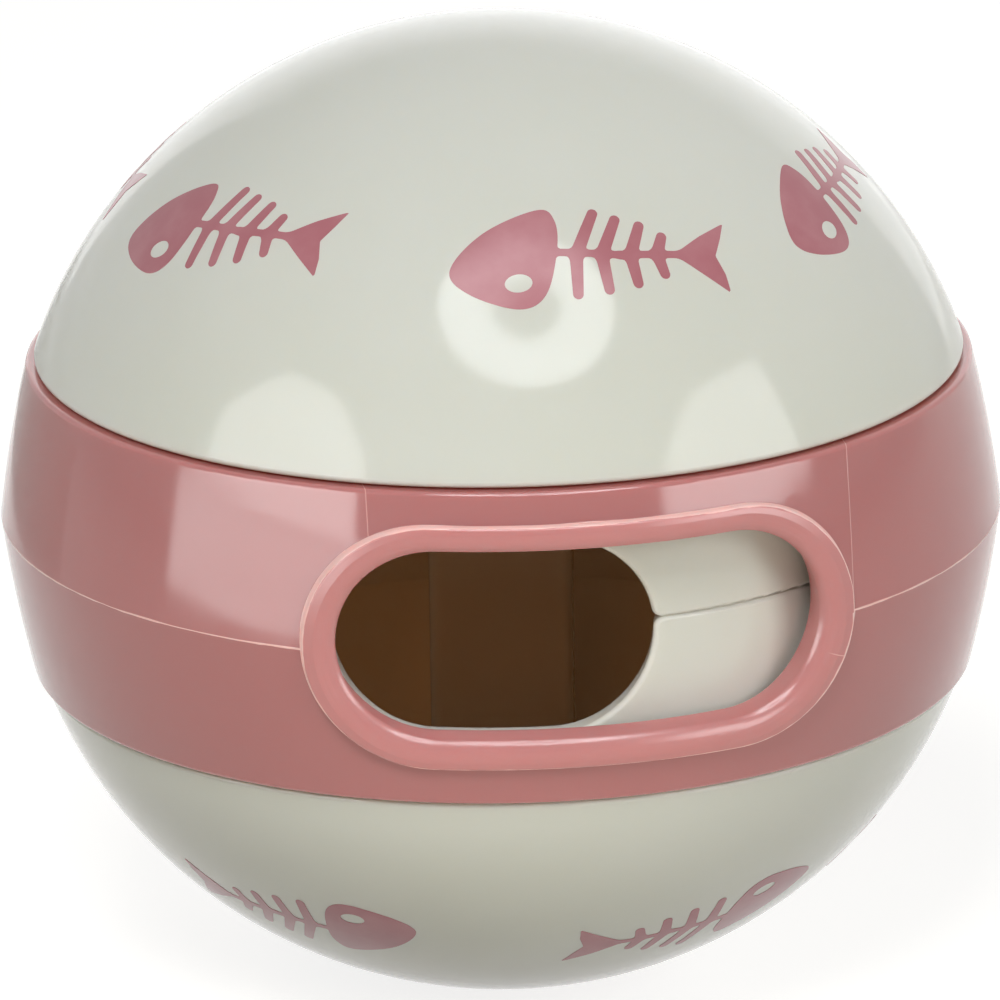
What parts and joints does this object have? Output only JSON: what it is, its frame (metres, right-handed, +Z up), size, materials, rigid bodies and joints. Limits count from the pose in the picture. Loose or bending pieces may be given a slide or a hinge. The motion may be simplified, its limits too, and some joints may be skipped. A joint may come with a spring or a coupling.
{
  "type": "treat dispensing ball",
  "caption": "Hollow cat toy ball: two push-together shells with a fishbone print, and a turning ring whose long window opens or covers a treat hole.",
  "frame": {"origin": "centre of the ball, on the axis of the post and halfway up the ring", "axes": "+Z up along the post through the poles of the domes, the treat hole faces -Y, +X to the right as seen from the hole's side"},
  "size_m": [0.07, 0.0694, 0.0688],
  "materials": {
    "cream_shell": "glossy moulded plastic, cream, with fishbones printed in the ring's pink",
    "pink_ring": "glossy moulded plastic, dusty pink, with a fine parting line"
  },
  "bodies": {
    "lower": {"lower_shell": "cream_shell"},
    "upper": {"upper_shell": "cream_shell"},
    "ring": {"adjuster_ring": "pink_ring"}
  },
  "joints": [
    {"name": "ring_turn", "type": "hinge", "parent": "lower", "child": "ring", "pos_m": [0, 0, 0], "axis": [0, 0, 1], "continuous": true},
    {"name": "upper_lift", "type": "slide", "parent": "lower", "child": "upper", "axis": [0, 0, 1], "range_m": [0, 0.04]}
  ]
}
